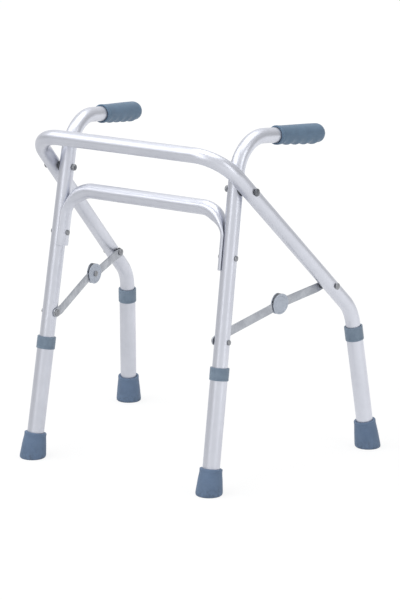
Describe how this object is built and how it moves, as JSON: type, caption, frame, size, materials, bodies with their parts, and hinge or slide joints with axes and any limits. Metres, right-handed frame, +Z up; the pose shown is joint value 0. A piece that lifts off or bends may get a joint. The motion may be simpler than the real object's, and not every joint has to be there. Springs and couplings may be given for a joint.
{
  "type": "folding pediatric walker",
  "caption": "Folding, height-adjustable walking frame for a small child, with rear-facing hand grips, crossbars in front, hinged side braces and rubber-tipped legs.",
  "frame": {"origin": "on the floor, midway between the four rubber tips", "axes": "+Z up, +Y to the rear, the open side where the child stands, +X to the side that the front faces as its right in the picture"},
  "size_m": [0.5524, 0.4244, 0.5799],
  "materials": {
    "aluminium": "satin",
    "brace_metal": "satin",
    "hinge_drum": "satin",
    "fasteners": "satin",
    "spring_steel": "satin",
    "plastic": "matte",
    "grip_rubber": "matte",
    "tip_rubber": "matte"
  },
  "bodies": {
    "front_frame": {"front_leg_left": "aluminium", "front_leg_right": "aluminium", "lower_crossbar": "aluminium", "crossbar_rivet_left": "fasteners", "hand_grip_left": "grip_rubber", "pivot_bolt_left": "fasteners", "pivot_nut_left": "fasteners", "pivot_spacer_left": "plastic", "brace_front_bolt_left": "fasteners", "brace_front_nut_left": "fasteners", "crossbar_rivet_right": "fasteners", "hand_grip_right": "grip_rubber", "pivot_bolt_right": "fasteners", "pivot_nut_right": "fasteners", "pivot_spacer_right": "plastic", "brace_front_bolt_right": "fasteners", "brace_front_nut_right": "fasteners", "snap_clip_front_left": "spring_steel", "snap_clip_front_right": "spring_steel"},
    "rear_frame": {"rear_frame_tube": "aluminium", "brace_rear_bolt_left": "fasteners", "brace_rear_spacer_left": "plastic", "brace_rear_bolt_right": "fasteners", "brace_rear_spacer_right": "plastic", "snap_clip_rear_left": "spring_steel", "snap_clip_rear_right": "spring_steel"},
    "front_link_left": {"brace_front_link_left": "brace_metal"},
    "rear_link_left": {"brace_rear_link_left": "brace_metal", "hinge_drum_left": "hinge_drum", "hinge_bolt_left": "fasteners", "brace_rear_nut_left": "fasteners"},
    "front_link_right": {"brace_front_link_right": "brace_metal"},
    "rear_link_right": {"brace_rear_link_right": "brace_metal", "hinge_drum_right": "hinge_drum", "hinge_bolt_right": "fasteners", "brace_rear_nut_right": "fasteners"},
    "lower_leg_front_left": {"leg_sleeve_front_left": "aluminium", "leg_collar_front_left": "plastic", "rubber_tip_front_left": "tip_rubber", "tip_washer_front_left": "fasteners"},
    "snap_button_front_left": {"snap_stud_front_left": "spring_steel"},
    "lower_leg_front_right": {"leg_sleeve_front_right": "aluminium", "leg_collar_front_right": "plastic", "rubber_tip_front_right": "tip_rubber", "tip_washer_front_right": "fasteners"},
    "snap_button_front_right": {"snap_stud_front_right": "spring_steel"},
    "lower_leg_rear_left": {"leg_sleeve_rear_left": "aluminium", "leg_collar_rear_left": "plastic", "rubber_tip_rear_left": "tip_rubber", "tip_washer_rear_left": "fasteners"},
    "snap_button_rear_left": {"snap_stud_rear_left": "spring_steel"},
    "lower_leg_rear_right": {"leg_sleeve_rear_right": "aluminium", "leg_collar_rear_right": "plastic", "rubber_tip_rear_right": "tip_rubber", "tip_washer_rear_right": "fasteners"},
    "snap_button_rear_right": {"snap_stud_rear_right": "spring_steel"}
  },
  "joints": [
    {"name": "fold", "type": "hinge", "parent": "front_frame", "child": "rear_frame", "pos_m": [0, -0.10264, 0.48962], "axis": [-1, 0, 0], "range_deg": [0, 40]},
    {"name": "front_link_turn_left", "type": "hinge", "parent": "front_frame", "child": "front_link_left", "pos_m": [-0.1612, -0.14622, 0.2465], "axis": [1, 0, 0], "range_deg": [0, 5.48]},
    {"name": "brace_hinge_turn_left", "type": "hinge", "parent": "front_link_left", "child": "rear_link_left", "pos_m": [-0.1915, -0.0014, 0.283], "axis": [-1, 0, 0], "range_deg": [0, 140.36]},
    {"name": "front_link_turn_right", "type": "hinge", "parent": "front_frame", "child": "front_link_right", "pos_m": [0.1612, -0.14622, 0.2465], "axis": [1, 0, 0], "range_deg": [0, 5.48]},
    {"name": "brace_hinge_turn_right", "type": "hinge", "parent": "front_link_right", "child": "rear_link_right", "pos_m": [0.1915, -0.0014, 0.283], "axis": [-1, 0, 0], "range_deg": [0, 140.36]},
    {"name": "height_front_left", "type": "slide", "parent": "front_frame", "child": "lower_leg_front_left", "axis": [-0.0221, -0.1764, -0.9841], "range_m": [0, 0.1], "deforming": ["snap_stud_front_left"]},
    {"name": "press_front_left", "type": "slide", "parent": "front_frame", "child": "snap_button_front_left", "axis": [0.004, -0.9843, 0.1764], "range_m": [0, 0.0045], "stiffness_N_per_m": 1500, "springref_m": -0.001},
    {"name": "height_front_right", "type": "slide", "parent": "front_frame", "child": "lower_leg_front_right", "axis": [0.0221, -0.1764, -0.9841], "range_m": [0, 0.1], "deforming": ["snap_stud_front_right"]},
    {"name": "press_front_right", "type": "slide", "parent": "front_frame", "child": "snap_button_front_right", "axis": [-0.004, -0.9843, 0.1764], "range_m": [0, 0.0045], "stiffness_N_per_m": 1500, "springref_m": -0.001},
    {"name": "height_rear_left", "type": "slide", "parent": "rear_frame", "child": "lower_leg_rear_left", "axis": [-0.0781, 0.1254, -0.989], "range_m": [0, 0.1], "deforming": ["snap_stud_rear_left"]},
    {"name": "press_rear_left", "type": "slide", "parent": "rear_frame", "child": "snap_button_rear_left", "axis": [-0.0099, -0.9921, -0.125], "range_m": [0, 0.0045], "stiffness_N_per_m": 1500, "springref_m": -0.001},
    {"name": "height_rear_right", "type": "slide", "parent": "rear_frame", "child": "lower_leg_rear_right", "axis": [0.0781, 0.1254, -0.989], "range_m": [0, 0.1], "deforming": ["snap_stud_rear_right"]},
    {"name": "press_rear_right", "type": "slide", "parent": "rear_frame", "child": "snap_button_rear_right", "axis": [0.0099, -0.9921, -0.125], "range_m": [0, 0.0045], "stiffness_N_per_m": 1500, "springref_m": -0.001}
  ],
  "couplings": [
    {"joint": "front_link_turn_left", "follows": "fold", "ratio": 0.13707},
    {"joint": "brace_hinge_turn_left", "follows": "fold", "ratio": 3.5091},
    {"joint": "front_link_turn_right", "follows": "fold", "ratio": 0.13707},
    {"joint": "brace_hinge_turn_right", "follows": "fold", "ratio": 3.5091}
  ]
}
